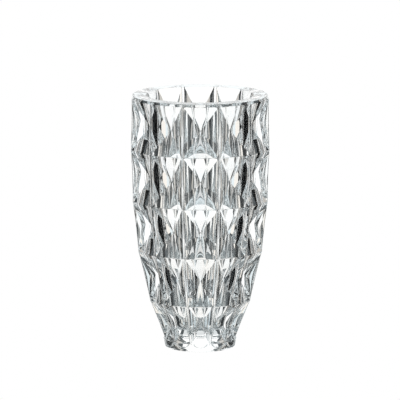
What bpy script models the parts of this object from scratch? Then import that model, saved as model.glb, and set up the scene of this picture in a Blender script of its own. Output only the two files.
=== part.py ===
"""A deeply cut crystal vase: one piece of clear glass, open at the top.

Twelve upright ribs stand round the outside. Between them, in five tiers, four hollow
facets run in to a crossing, and the tiers meet at sharp level ridges. The inside is a
smooth tapering bowl with a thick floor.
"""

import math

import bpy

HEIGHT = 0.255
COLUMNS = 12
HALF_COLUMN = math.pi / COLUMNS

# The ribs: nearly straight down from the rim, then curving in to the foot.
RIB_RADIUS = 0.0711
RIB_TOP_RADIUS = 0.0702
RIB_FOOT_RADIUS = 0.0353
TAPER_START = 0.235
TAPER_POWER = 3.0
RIB_HALF_WIDTH = 0.0014
RIB_BULGE = 0.0004
RIB_DIP = 0.0004

# The ridges between the tiers, and how far the middle of each lies inside the straight
# line from rib to rib. The lowest one bows out, to meet the round foot.
RIDGE_HEIGHTS = (0.2525, 0.2015, 0.1495, 0.0990, 0.0485, 0.0078)
RIDGE_HOLLOWS = (0.0, 0.0, 0.0, 0.0, 0.0, -0.0020)
CUT_DEPTH = 0.0110

# The rim: a flat ring with a rounded outer edge and a small inner bevel.
RIM_RADIUS = 0.0677
RIM_EASE = 0.0007
MOUTH_RADIUS = 0.0535
FLARE_HEIGHT = 0.0140

# The bowl.
BOWL_RADIUS = 0.0518
FLOOR_HEIGHT = 0.0180
BOWL_TAPER_START = 0.240
BOWL_TAPER_POWER = 2.4
BOWL_TAPER = 0.0270
BOWL_CORNER = 0.0100

# The foot: a short round band, a flat ring to stand on, and a shallow hollow under it.
FOOT_BAND = ((0.0357, 0.0045), (0.0352, 0.0010), (0.0343, 0.0))
HOLLOW_RADIUS = 0.0265
HOLLOW_DEPTH = 0.0018

# How finely the surface is divided.
PANEL_STEPS = 6
RIB_STEPS = 2
RING_STEPS = PANEL_STEPS + RIB_STEPS
TIER_STEPS = 4
BOWL_RINGS = 14
CORNER_RINGS = 5
HOLLOW_RINGS = 3


def corner_radius(ridge):
    """A rib's distance from the axis where it crosses this ridge."""
    if ridge == 0:
        return RIB_TOP_RADIUS
    lowest = RIDGE_HEIGHTS[-1]
    drop = max(0.0, (TAPER_START - RIDGE_HEIGHTS[ridge]) / (TAPER_START - lowest))
    return RIB_RADIUS - (RIB_RADIUS - RIB_FOOT_RADIUS) * drop ** TAPER_POWER


def tier_at(height):
    """The tier at this height, and how far down it the height lies, from 0 to 1."""
    for tier, (top, bottom) in enumerate(zip(RIDGE_HEIGHTS, RIDGE_HEIGHTS[1:])):
        if height >= bottom:
            break
    return tier, min(1.0, max(0.0, (top - height) / (top - bottom)))


def rib_radius(height):
    """A rib's distance from the axis: it dips a little between one ridge and the next."""
    tier, down = tier_at(height)
    straight = corner_radius(tier) * (1 - down) + corner_radius(tier + 1) * down
    return straight - RIB_DIP * 4 * down * (1 - down)


def hollow_at(height):
    tier, down = tier_at(height)
    return RIDGE_HOLLOWS[tier] * (1 - down) + RIDGE_HOLLOWS[tier + 1] * down


def bowl_radius(height):
    """The inner wall's distance from the axis at this height."""
    drop = max(0.0, (BOWL_TAPER_START - height) / (BOWL_TAPER_START - FLOOR_HEIGHT))
    rise = max(0.0, 1 - (HEIGHT - height) / FLARE_HEIGHT)
    flare = (MOUTH_RADIUS - BOWL_RADIUS) * rise ** 2
    return BOWL_RADIUS - BOWL_TAPER * drop ** BOWL_TAPER_POWER + flare


def point(radius, angle, height):
    return (radius * math.cos(angle), radius * math.sin(angle), height)


class Shell:
    """Vertices and faces of the closed surface, built ring by ring."""

    def __init__(self):
        self.vertices = []
        self.faces = []
        self.smooth = []

    def add(self, where):
        self.vertices.append(where)
        return len(self.vertices) - 1

    def face(self, corners, smooth=False):
        self.faces.append(corners)
        self.smooth.append(smooth)

    def rib_points(self, column, height, first=0):
        """Points across one rib, which stands a little proud of the panels' edges."""
        radius = rib_radius(height)
        middle = 2 * HALF_COLUMN * (column + 1) + HALF_COLUMN
        points = []
        for step in range(first, RIB_STEPS + 1 - first):
            across = 2 * step / RIB_STEPS - 1
            bulge = RIB_BULGE * (1 - across * across)
            angle = middle + across * RIB_HALF_WIDTH / radius
            points.append(self.add(point(radius + bulge, angle, height)))
        return points

    def ridge(self, height):
        """One turn at a ridge: in each column the panel's edge, then the rib after it."""
        radius = rib_radius(height)
        half = HALF_COLUMN - RIB_HALF_WIDTH / radius
        ring = []
        for column in range(COLUMNS):
            for step in range(PANEL_STEPS + 1):
                across = 2 * step / PANEL_STEPS - 1
                chord = radius * math.cos(half) / math.cos(half * across)
                inwards = hollow_at(height) * (1 - across * across)
                angle = 2 * HALF_COLUMN * (column + 1) + half * across
                ring.append(self.add(point(chord - inwards, angle, height)))
            ring += self.rib_points(column, height, first=1)
        return ring

    def turn(self, below, radius, height):
        """A round ring with its points at the same angles as those of another ring."""
        angles = [math.atan2(self.vertices[i][1], self.vertices[i][0]) for i in below]
        return [self.add(point(radius, angle, height)) for angle in angles]

    def strip(self, upper, lower, smooth=False):
        for step in range(len(upper) - 1):
            corners = (lower[step], lower[step + 1], upper[step + 1], upper[step])
            self.face(corners, smooth)

    def band(self, upper, lower, smooth=True):
        """Faces between two rings, facing out when the first is the higher one."""
        self.strip(upper + upper[:1], lower + lower[:1], smooth)

    def fan(self, points, centre, smooth=False):
        for first, second in zip(points, points[1:]):
            self.face((first, second, centre), smooth)

    def rib(self, upper, lower, column):
        """One rib down one tier. Returns its left and its right edge, from the top."""
        start = column * RING_STEPS + PANEL_STEPS
        places = [(start + step) % len(upper) for step in range(RIB_STEPS + 1)]
        rows = [[upper[place] for place in places]]
        top = self.vertices[upper[0]][2]
        bottom = self.vertices[lower[0]][2]
        for step in range(1, TIER_STEPS):
            height = top + (bottom - top) * step / TIER_STEPS
            rows.append(self.rib_points(column, height))
        rows.append([lower[place] for place in places])
        for above, below in zip(rows, rows[1:]):
            self.strip(above, below, True)
        return [row[0] for row in rows], [row[-1] for row in rows]

    def tier(self, upper, lower, middle_radius):
        """The ribs of one tier, and between them four facets that run in to a point."""
        ribs = [self.rib(upper, lower, column) for column in range(COLUMNS)]
        height = (self.vertices[upper[0]][2] + self.vertices[lower[0]][2]) / 2
        for column in range(COLUMNS):
            start = column * RING_STEPS
            end = start + PANEL_STEPS + 1
            angle = 2 * HALF_COLUMN * (column + 1)
            crossing = self.add(point(middle_radius, angle, height))
            self.fan(upper[start:end][::-1], crossing)
            self.fan(lower[start:end], crossing)
            self.fan(ribs[column - 1][1], crossing)
            self.fan(ribs[column][0][::-1], crossing)


def bowl_profile():
    """(radius, height) from the mouth down to the edge of the flat floor."""
    corner_top = FLOOR_HEIGHT + BOWL_CORNER
    top = HEIGHT - RIM_EASE
    profile = [(MOUTH_RADIUS + RIM_EASE, HEIGHT)]
    for index in range(BOWL_RINGS + 1):
        height = top + (corner_top - top) * index / BOWL_RINGS
        profile.append((bowl_radius(height), height))
    wall = bowl_radius(corner_top)
    for index in range(1, CORNER_RINGS + 1):
        turn = math.pi / 2 * index / CORNER_RINGS
        inward = BOWL_CORNER * (1 - math.cos(turn))
        profile.append((wall - inward, corner_top - BOWL_CORNER * math.sin(turn)))
    return profile


def foot_profile():
    """(radius, height) from the foot's band in to the middle of the hollow under it."""
    profile = list(FOOT_BAND)
    for index in range(HOLLOW_RINGS):
        out = 1 - index / HOLLOW_RINGS
        profile.append((HOLLOW_RADIUS * out, HOLLOW_DEPTH * (1 - out * out)))
    return profile


def build_shell():
    shell = Shell()
    ridges = [shell.ridge(height) for height in RIDGE_HEIGHTS]
    for tier, (upper, lower) in enumerate(zip(ridges, ridges[1:])):
        middle = (corner_radius(tier) + corner_radius(tier + 1)) / 2
        shell.tier(upper, lower, middle * math.cos(HALF_COLUMN) - CUT_DEPTH)

    shoulder = shell.turn(ridges[0], RIM_RADIUS + RIM_EASE, HEIGHT - RIM_EASE)
    shell.band(shoulder, ridges[0], False)
    above = shell.turn(ridges[0], RIM_RADIUS, HEIGHT)
    shell.band(above, shoulder)
    for index, (radius, height) in enumerate(bowl_profile()):
        below = shell.turn(ridges[0], radius, height)
        shell.band(below, above, index > 1)
        above = below
    floor_centre = shell.add((0.0, 0.0, FLOOR_HEIGHT))
    shell.fan(above + above[:1], floor_centre, True)

    above = ridges[-1]
    for radius, height in foot_profile():
        below = shell.turn(above, radius, height)
        shell.band(above, below)
        above = below
    hollow_centre = shell.add((0.0, 0.0, HOLLOW_DEPTH))
    shell.fan((above + above[:1])[::-1], hollow_centre, True)
    return shell


def crystal():
    """Clear lead-free crystal."""
    material = bpy.data.materials.new("crystal")
    material.use_nodes = True
    shader = material.node_tree.nodes["Principled BSDF"]
    shader.inputs["Base Color"].default_value = (0.97, 0.98, 0.98, 1.0)
    shader.inputs["Roughness"].default_value = 0.0
    shader.inputs["IOR"].default_value = 1.54
    shader.inputs["Transmission Weight"].default_value = 1.0
    return material


def build():
    for old in list(bpy.data.objects):
        bpy.data.objects.remove(old, do_unlink=True)
    shell = build_shell()
    mesh = bpy.data.meshes.new("vase_body")
    mesh.from_pydata(shell.vertices, [], shell.faces)
    mesh.polygons.foreach_set("use_smooth", shell.smooth)
    mesh.materials.append(crystal())
    mesh.update()
    body = bpy.data.objects.new("vase_body", mesh)
    bpy.context.scene.collection.objects.link(body)


build()
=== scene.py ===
import math

import bpy
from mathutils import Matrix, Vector


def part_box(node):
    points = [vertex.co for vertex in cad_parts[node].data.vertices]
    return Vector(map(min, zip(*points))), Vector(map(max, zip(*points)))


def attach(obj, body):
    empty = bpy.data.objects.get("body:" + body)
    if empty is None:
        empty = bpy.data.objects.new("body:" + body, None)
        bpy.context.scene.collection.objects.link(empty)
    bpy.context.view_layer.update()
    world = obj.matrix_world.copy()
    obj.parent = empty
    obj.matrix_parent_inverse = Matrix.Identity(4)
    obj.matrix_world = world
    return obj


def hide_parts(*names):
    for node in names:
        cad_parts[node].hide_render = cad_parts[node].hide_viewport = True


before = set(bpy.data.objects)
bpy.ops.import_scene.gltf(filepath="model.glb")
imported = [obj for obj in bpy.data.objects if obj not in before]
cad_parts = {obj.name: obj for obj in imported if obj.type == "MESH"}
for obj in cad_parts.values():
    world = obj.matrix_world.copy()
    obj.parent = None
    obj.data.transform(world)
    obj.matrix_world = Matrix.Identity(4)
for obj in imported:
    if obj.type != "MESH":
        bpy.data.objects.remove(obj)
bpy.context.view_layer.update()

# The cut crystal vase, in metres: +Z up, the middle of one column of cuts towards -Y.
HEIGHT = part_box("vase_body")[1][2]
COLUMNS = 12
HALF_COLUMN = math.pi / COLUMNS

# The ribs: nearly straight down from the rim, then curving in to the foot.
RIB_RADIUS = 0.0711
RIB_TOP_RADIUS = 0.0702
RIB_FOOT_RADIUS = 0.0353
TAPER_START = 0.235
TAPER_POWER = 3.0
RIB_HALF_WIDTH = 0.0012
RIB_BULGE = 0.0003
RIB_DIP = 0.0004

# The ridges above, between and below the tiers. They run straight from rib to rib, and
# only the lowest one bows out, to meet the round foot.
RIDGE_HEIGHTS = (0.2525, 0.2015, 0.1495, 0.0990, 0.0485, 0.0078)
FOOT_BOW = 0.0020
RIDGE_HALF_WIDTH = 0.0005
RIDGE_BULGE = 0.0001

# Four facets run in from the ribs and ridges to each crossing. The upper and lower ones
# are slightly hollow, and the ones at the sides are flat.
CUT_DEPTH = 0.0109
FACET_HOLLOWS = (0.0003, 0.0, 0.0003, 0.0)

# The rim: a flat ring with a rounded outer edge and a rounded inner edge.
RIM_RADIUS = 0.0677
RIM_EASE = 0.0007
MOUTH_RADIUS = 0.0535
FLARE_HEIGHT = 0.0040

# The bowl, which flares a little at the mouth and tapers to a rounded corner and a floor.
BOWL_RADIUS = 0.0518
FLOOR_HEIGHT = 0.0180
BOWL_TAPER_START = 0.240
BOWL_TAPER_POWER = 2.4
BOWL_TAPER = 0.0270
BOWL_CORNER = 0.0100

# The foot: a short round band, a flat ring to stand on, and a shallow hollow under it.
FOOT_BAND = ((0.0357, 0.0045), (0.0352, 0.0012), (0.0345, 0.0003), (0.0338, 0.0))
HOLLOW_RADIUS = 0.0265
HOLLOW_DEPTH = 0.0018

# How finely the surface is divided.
PANEL_STEPS = 16
RIB_STEPS = 8
RING_STEPS = PANEL_STEPS + RIB_STEPS
TIER_STEPS = 16
FACET_STEPS = 8
RIDGE_STEPS = 4
EDGE_STEPS = 4
BOWL_RINGS = 40
CORNER_RINGS = 10
HOLLOW_RINGS = 9
SHARP_ANGLE = 20
FACET_WEIGHT = 100

# The crystal: its refraction, surface ripple, unevenness of polish and casts of colour.
# Each noise is (scale, detail), and each span is the part of the noise that shows.
CRYSTAL_IOR = 1.54
RIPPLE_NOISE = (45.0, 1.0)
RIPPLE_HEIGHT = 0.00002
POLISH_NOISE = (60.0, 3.0)
POLISH_SPAN = (0.45, 0.8)
HAZE = 0.02
CAST_NOISE = (28.0, 1.0)
CAST_SPAN = (0.35, 0.65)
WARM_CAST = (1.0, 0.988, 0.968)
COOL_CAST = (0.972, 0.991, 1.0)

# The studio shows only in the glass and through it. It is made of curved panels, each
# (azimuth and half width in degrees, foot and top in metres, brightness, colour). Azimuth
# 0 is straight behind the vase, and 180 is behind the camera. From the first to the last
# they are the backdrop, two slim strips, two black flags, the soft boxes at the sides,
# and a dark screen behind the camera with a light over it.
WHITE = (1.0, 1.0, 1.0)
COOL = (0.88, 0.965, 1.0)
WARM = (1.0, 0.96, 0.90)
PANEL_DISTANCE = 1.5
PANEL_PARTS = 8
PANELS = (
    (0, 22, -0.45, 1.10, 1.12, WHITE),
    (0, 22, -1.60, -0.45, 0.85, WHITE),
    (32, 3, -1.20, 0.90, 0.60, WARM),
    (-32, 3, -1.20, 0.90, 0.60, WARM),
    (57, 21, -0.75, 0.60, 0.005, WHITE),
    (-57, 21, -0.75, 0.60, 0.005, WHITE),
    (90, 10, -0.45, 1.40, 1.05, WARM),
    (-90, 10, -0.45, 1.40, 1.05, WARM),
    (126, 26, -0.45, 1.40, 1.00, COOL),
    (-126, 26, -0.45, 1.40, 1.00, COOL),
    (116, 12, -1.60, -0.45, 0.90, COOL),
    (-116, 12, -1.60, -0.45, 0.90, COOL),
    (180, 26, -0.90, 0.35, 0.01, COOL),
    (180, 25, 0.35, 1.50, 0.90, COOL),
)

# Level panels below and above, as (height, brightness), and the dim room round them all.
LEVEL_PANELS = ((-1.6, 1.0), (1.6, 0.3))
LEVEL_PANEL_HALF_WIDTH = 1.4
ROOM_COLOUR = (0.085, 0.095, 0.1)

# The small glossy table top, just clear of the foot.
TABLE_HALF_WIDTH = 0.09
TABLE_CLEARANCE = 0.0005
TABLE_COLOUR = (0.62, 0.65, 0.66)
TABLE_ROUGHNESS = 0.03

# The camera: a long lens, tilted down at the rim, turned a little off the column's middle.
CAMERA_DISTANCE = 5.0
CAMERA_AZIMUTH = -0.8
CAMERA_TILT = 8.6
AIM_HEIGHT = 0.1482
VIEW_WIDTH = 0.400
SENSOR_WIDTH = 36.0

# How often light may pass from surface to surface in the cut glass.
LIGHT_BOUNCES = 24


def corner_radius(ridge):
    """A rib's distance from the axis where it crosses this ridge."""
    if ridge == 0:
        return RIB_TOP_RADIUS
    lowest = RIDGE_HEIGHTS[-1]
    drop = max(0.0, (TAPER_START - RIDGE_HEIGHTS[ridge]) / (TAPER_START - lowest))
    return RIB_RADIUS - (RIB_RADIUS - RIB_FOOT_RADIUS) * drop ** TAPER_POWER


def tier_at(height):
    """The tier at this height, and how far down it the height lies, from 0 to 1."""
    for tier, (top, bottom) in enumerate(zip(RIDGE_HEIGHTS, RIDGE_HEIGHTS[1:])):
        if height >= bottom:
            break
    return tier, min(1.0, max(0.0, (top - height) / (top - bottom)))


def rib_radius(height):
    """A rib's distance from the axis: it dips a little between one ridge and the next."""
    tier, down = tier_at(height)
    straight = corner_radius(tier) * (1 - down) + corner_radius(tier + 1) * down
    return straight - RIB_DIP * 4 * down * (1 - down)


def bow_at(height):
    """How far a level line bows out between two ribs, which it does in the lowest tier."""
    tier, down = tier_at(height)
    return FOOT_BOW * down if tier == len(RIDGE_HEIGHTS) - 2 else 0.0


def bowl_radius(height):
    """The inner wall's distance from the axis at this height."""
    drop = max(0.0, (BOWL_TAPER_START - height) / (BOWL_TAPER_START - FLOOR_HEIGHT))
    rise = max(0.0, 1 - (HEIGHT - height) / FLARE_HEIGHT)
    flare = (MOUTH_RADIUS - BOWL_RADIUS) * rise ** 2
    return BOWL_RADIUS - BOWL_TAPER * drop ** BOWL_TAPER_POWER + flare


def point(radius, angle, height):
    return Vector((radius * math.cos(angle), radius * math.sin(angle), height))


def rounded(across):
    """The height of a rounded top: 1 in the middle and 0 at either edge, -1 or 1."""
    return 1 - across * across


class Shell:
    """Vertices and faces of the closed surface, built ring by ring."""

    def __init__(self):
        self.vertices = []
        self.faces = []

    def add(self, where):
        self.vertices.append(where)
        return len(self.vertices) - 1

    def rib_points(self, column, height, first=0, lift=0.0):
        """Points across one rounded rib, which stands proud of the panels' edges."""
        radius = rib_radius(height)
        middle = 2 * HALF_COLUMN * (column + 1) + HALF_COLUMN
        points = []
        for step in range(first, RIB_STEPS + 1 - first):
            across = 2 * step / RIB_STEPS - 1
            angle = middle + across * RIB_HALF_WIDTH / radius
            out = radius + lift + RIB_BULGE * rounded(across)
            points.append(self.add(point(out, angle, height)))
        return points

    def level(self, height, lift=0.0):
        """One turn at a ridge: in each column the panel's edge, then the rib after it."""
        radius = rib_radius(height)
        half = HALF_COLUMN - RIB_HALF_WIDTH / radius
        ring = []
        for column in range(COLUMNS):
            for step in range(PANEL_STEPS + 1):
                across = 2 * step / PANEL_STEPS - 1
                chord = radius * math.cos(half) / math.cos(half * across)
                out = chord + bow_at(height) * rounded(across) + lift
                angle = 2 * HALF_COLUMN * (column + 1) + half * across
                ring.append(self.add(point(out, angle, height)))
            ring += self.rib_points(column, height, 1, lift)
        return ring

    def ridge(self, index):
        """A rounded ridge, as its rings from the top. The first and last are half ones."""
        first = 0 if index == 0 else -RIDGE_STEPS // 2
        last = 0 if index == len(RIDGE_HEIGHTS) - 1 else RIDGE_STEPS // 2
        rings = []
        for step in range(first, last + 1):
            down = 2 * step / RIDGE_STEPS
            height = RIDGE_HEIGHTS[index] - RIDGE_HALF_WIDTH * down
            rings.append(self.level(height, RIDGE_BULGE * rounded(down)))
        for upper, lower in zip(rings, rings[1:]):
            self.band(upper, lower)
        return rings

    def turn(self, like, radius, height):
        """A round ring with its points at the same angles as those of another ring."""
        angles = [math.atan2(self.vertices[i][1], self.vertices[i][0]) for i in like]
        return [self.add(point(radius, angle, height)) for angle in angles]

    def strip(self, upper, lower):
        for step in range(len(upper) - 1):
            self.faces.append((lower[step], lower[step + 1], upper[step + 1], upper[step]))

    def band(self, upper, lower):
        """Faces between two rings, facing out when the first is the higher one."""
        self.strip(upper + upper[:1], lower + lower[:1])

    def fan(self, points, centre):
        for first, second in zip(points, points[1:]):
            self.faces.append((first, second, centre))

    def rib(self, upper, lower, column):
        """One rib down one tier. Returns its left and its right edge, from the top."""
        start = column * RING_STEPS + PANEL_STEPS
        places = [(start + step) % len(upper) for step in range(RIB_STEPS + 1)]
        rows = [[upper[place] for place in places]]
        top = self.vertices[upper[0]][2]
        bottom = self.vertices[lower[0]][2]
        for step in range(1, TIER_STEPS):
            height = top + (bottom - top) * step / TIER_STEPS
            rows.append(self.rib_points(column, height))
        rows.append([lower[place] for place in places])
        for above, below in zip(rows, rows[1:]):
            self.strip(above, below)
        return [row[0] for row in rows], [row[-1] for row in rows]

    def crossing(self, edges, centre):
        """Four facets from the edges of a panel in to their crossing.

        The edges follow one another round the panel, and each ends where the next starts.
        """
        middle = self.vertices[centre]
        seams = [self.seam(edge[0], middle) for edge in edges]
        for index, (edge, hollow) in enumerate(zip(edges, FACET_HOLLOWS)):
            rows = [edge]
            for step in range(1, FACET_STEPS):
                inwards = step / FACET_STEPS
                row = [seams[index][step - 1]]
                for place, outer in enumerate(edge[1:-1], 1):
                    across = 2 * place / (len(edge) - 1) - 1
                    dent = hollow * rounded(across) * rounded(2 * inwards - 1)
                    where = self.vertices[outer].lerp(middle, inwards)
                    where -= Vector((where.x, where.y, 0.0)).normalized() * dent
                    row.append(self.add(where))
                row.append(seams[(index + 1) % len(seams)][step - 1])
                rows.append(row)
            for outer, inner in zip(rows, rows[1:]):
                self.strip(inner, outer)
            self.fan(rows[-1], centre)

    def seam(self, corner, middle):
        """Points along the sharp line where two facets meet."""
        start = self.vertices[corner]
        shares = [step / FACET_STEPS for step in range(1, FACET_STEPS)]
        return [self.add(start.lerp(middle, share)) for share in shares]

    def tier(self, upper, lower, middle_radius):
        """The ribs of one tier, and between them its crossings."""
        ribs = [self.rib(upper, lower, column) for column in range(COLUMNS)]
        height = (self.vertices[upper[0]][2] + self.vertices[lower[0]][2]) / 2
        for column in range(COLUMNS):
            start = column * RING_STEPS
            end = start + PANEL_STEPS + 1
            angle = 2 * HALF_COLUMN * (column + 1)
            centre = self.add(point(middle_radius, angle, height))
            left = ribs[column - 1][1]
            right = ribs[column][0][::-1]
            edges = (upper[start:end][::-1], left, lower[start:end], right)
            self.crossing(edges, centre)


def bowl_profile():
    """(radius, height) over the rim's edges and down to the edge of the flat floor."""
    corner_top = FLOOR_HEIGHT + BOWL_CORNER
    top = HEIGHT - RIM_EASE
    profile = []
    for radius, first in ((RIM_RADIUS, 0), (MOUTH_RADIUS + RIM_EASE, EDGE_STEPS)):
        for index in range(EDGE_STEPS + 1):
            turn = math.pi / 2 * (first + index) / EDGE_STEPS
            out = radius - RIM_EASE * (first == 0) + RIM_EASE * math.cos(turn)
            profile.append((out, top + RIM_EASE * math.sin(turn)))
    for index in range(1, BOWL_RINGS + 1):
        height = top + (corner_top - top) * index / BOWL_RINGS
        profile.append((bowl_radius(height), height))
    wall = bowl_radius(corner_top)
    for index in range(1, CORNER_RINGS + 1):
        turn = math.pi / 2 * index / CORNER_RINGS
        inward = BOWL_CORNER * (1 - math.cos(turn))
        profile.append((wall - inward, corner_top - BOWL_CORNER * math.sin(turn)))
    return profile


def foot_profile():
    """(radius, height) from the foot's band in to the middle of the hollow under it."""
    profile = list(FOOT_BAND)
    for index in range(HOLLOW_RINGS):
        out = 1 - index / HOLLOW_RINGS
        profile.append((HOLLOW_RADIUS * out, HOLLOW_DEPTH * (1 - out * out)))
    return profile


def vase_shell():
    shell = Shell()
    ridges = [shell.ridge(index) for index in range(len(RIDGE_HEIGHTS))]
    for tier, (upper, lower) in enumerate(zip(ridges, ridges[1:])):
        middle = (corner_radius(tier) + corner_radius(tier + 1)) / 2
        shell.tier(upper[-1], lower[0], middle * math.cos(HALF_COLUMN) - CUT_DEPTH)
    above = ridges[0][0]
    for radius, height in bowl_profile():
        below = shell.turn(above, radius, height)
        shell.band(below, above)
        above = below
    shell.fan(above + above[:1], shell.add(Vector((0.0, 0.0, FLOOR_HEIGHT))))
    above = ridges[-1][-1]
    for radius, height in foot_profile():
        below = shell.turn(above, radius, height)
        shell.band(above, below)
        above = below
    shell.fan((above + above[:1])[::-1], shell.add(Vector((0.0, 0.0, HOLLOW_DEPTH))))
    return shell


def linked(name, mesh):
    piece = bpy.data.objects.new(name, mesh)
    bpy.context.scene.collection.objects.link(piece)
    return piece


def noise(tree, place, scale, detail):
    """Cloudy noise through the glass, with its scale in waves to the metre."""
    cloud = tree.nodes.new("ShaderNodeTexNoise")
    cloud.inputs["Scale"].default_value = scale
    cloud.inputs["Detail"].default_value = detail
    tree.links.new(place.outputs["Object"], cloud.inputs["Vector"])
    return cloud


def crystal():
    """Clear crystal: a faint ripple, a little unevenness in the polish, warm and cool casts."""
    material = bpy.data.materials.new("crystal")
    material.use_nodes = True
    tree = material.node_tree
    shader = tree.nodes["Principled BSDF"]
    shader.inputs["IOR"].default_value = CRYSTAL_IOR
    shader.inputs["Transmission Weight"].default_value = 1.0
    place = tree.nodes.new("ShaderNodeTexCoord")

    ripple = tree.nodes.new("ShaderNodeBump")
    ripple.inputs["Distance"].default_value = RIPPLE_HEIGHT
    waves = noise(tree, place, *RIPPLE_NOISE)
    tree.links.new(waves.outputs["Fac"], ripple.inputs["Height"])
    tree.links.new(ripple.outputs["Normal"], shader.inputs["Normal"])

    polish = tree.nodes.new("ShaderNodeMapRange")
    polish.inputs["From Min"].default_value = POLISH_SPAN[0]
    polish.inputs["From Max"].default_value = POLISH_SPAN[1]
    polish.inputs["To Max"].default_value = HAZE
    wear = noise(tree, place, *POLISH_NOISE)
    tree.links.new(wear.outputs["Fac"], polish.inputs["Value"])
    tree.links.new(polish.outputs["Result"], shader.inputs["Roughness"])

    cast = tree.nodes.new("ShaderNodeValToRGB")
    for stop, share, colour in zip(cast.color_ramp.elements, CAST_SPAN, (WARM_CAST, COOL_CAST)):
        stop.position = share
        stop.color = (*colour, 1.0)
    melt = noise(tree, place, *CAST_NOISE)
    tree.links.new(melt.outputs["Fac"], cast.inputs["Fac"])
    tree.links.new(cast.outputs["Color"], shader.inputs["Base Color"])
    return material


def glowing(name, colour, strength):
    """A surface that gives an even light, for the studio's panels."""
    material = bpy.data.materials.new(name)
    material.use_nodes = True
    tree = material.node_tree
    tree.nodes.clear()
    light = tree.nodes.new("ShaderNodeEmission")
    light.inputs["Color"].default_value = (*colour, 1.0)
    light.inputs["Strength"].default_value = strength
    output = tree.nodes.new("ShaderNodeOutputMaterial")
    tree.links.new(light.outputs["Emission"], output.inputs["Surface"])
    return material


def build_vase():
    shell = vase_shell()
    mesh = bpy.data.meshes.new("vase")
    mesh.from_pydata(shell.vertices, [], shell.faces)
    mesh.polygons.foreach_set("use_smooth", [True] * len(shell.faces))
    mesh.set_sharp_from_angle(angle=math.radians(SHARP_ANGLE))
    mesh.materials.append(crystal())
    vase = linked("vase", mesh)
    weighted = vase.modifiers.new("even_facets", "WEIGHTED_NORMAL")
    weighted.weight = FACET_WEIGHT
    weighted.keep_sharp = True
    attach(vase, "root")
    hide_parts("vase_body")


def staged(name, corners, faces, material):
    """A surface of the studio, which the camera doesn't see straight on."""
    mesh = bpy.data.meshes.new(name)
    mesh.from_pydata(corners, [], faces)
    mesh.materials.append(material)
    surface = linked(name, mesh)
    surface.visible_camera = False


def staged_square(name, half, height, material):
    """A level square of the studio, centred under or over the vase."""
    sides = ((-half, -half), (half, -half), (half, half), (-half, half))
    corners = [(x, y, height) for x, y in sides]
    staged(name, corners, [(0, 1, 2, 3)], material)


def build_panel(index, azimuth, half_width, foot, top, brightness, colour):
    name = f"panel_{index}"
    corners = []
    for part in range(PANEL_PARTS + 1):
        angle = math.radians(azimuth - half_width + 2 * half_width * part / PANEL_PARTS)
        x, y = PANEL_DISTANCE * math.sin(angle), PANEL_DISTANCE * math.cos(angle)
        corners += [(x, y, foot), (x, y, top)]
    faces = [(i, i + 1, i + 3, i + 2) for i in range(0, 2 * PANEL_PARTS, 2)]
    staged(name, corners, faces, glowing(name, colour, brightness))


def build_level_panel(index, height, brightness):
    name = f"level_panel_{index}"
    staged_square(name, LEVEL_PANEL_HALF_WIDTH, height, glowing(name, COOL, brightness))


def glossy():
    """The table top's polished surface."""
    material = bpy.data.materials.new("table_top")
    material.use_nodes = True
    shader = material.node_tree.nodes["Principled BSDF"]
    shader.inputs["Base Color"].default_value = (*TABLE_COLOUR, 1.0)
    shader.inputs["Metallic"].default_value = 1.0
    shader.inputs["Roughness"].default_value = TABLE_ROUGHNESS
    return material


def light_room():
    """A dim room in the glass, and plain white straight behind the vase."""
    world = bpy.data.worlds.new("studio")
    bpy.context.scene.world = world
    world.use_nodes = True
    tree = world.node_tree
    background = tree.nodes["Background"]
    seen = tree.nodes.new("ShaderNodeLightPath")
    choice = tree.nodes.new("ShaderNodeMix")
    choice.data_type = "RGBA"
    choice.inputs[6].default_value = (*ROOM_COLOUR, 1.0)
    choice.inputs[7].default_value = (*WHITE, 1.0)
    tree.links.new(seen.outputs["Is Camera Ray"], choice.inputs[0])
    tree.links.new(choice.outputs[2], background.inputs["Color"])


def place_camera():
    tilt = math.radians(CAMERA_TILT)
    azimuth = math.radians(CAMERA_AZIMUTH)
    aim = Vector((0.0, 0.0, AIM_HEIGHT))
    place = Vector((
        CAMERA_DISTANCE * math.sin(azimuth),
        -CAMERA_DISTANCE * math.cos(azimuth),
        HEIGHT + CAMERA_DISTANCE * math.tan(tilt),
    ))
    lens = bpy.data.cameras.new("camera")
    lens.sensor_fit = "HORIZONTAL"
    lens.sensor_width = SENSOR_WIDTH
    lens.lens = SENSOR_WIDTH * (aim - place).length / VIEW_WIDTH
    camera = linked("camera", lens)
    camera.location = place
    camera.rotation_euler = (aim - place).to_track_quat("-Z", "Y").to_euler()
    bpy.context.scene.camera = camera


def set_light_paths():
    scene = bpy.context.scene
    scene.cycles.max_bounces = LIGHT_BOUNCES
    scene.cycles.transmission_bounces = LIGHT_BOUNCES
    scene.cycles.glossy_bounces = LIGHT_BOUNCES
    scene.cycles.caustics_refractive = True
    scene.cycles.caustics_reflective = True
    scene.cycles.blur_glossy = 0.0
    scene.view_settings.view_transform = "Standard"


build_vase()
for number, sizes in enumerate(PANELS):
    build_panel(number, *sizes)
for number, sizes in enumerate(LEVEL_PANELS):
    build_level_panel(number, *sizes)
staged_square("floor", TABLE_HALF_WIDTH, -TABLE_CLEARANCE, glossy())
light_room()
place_camera()
set_light_paths()
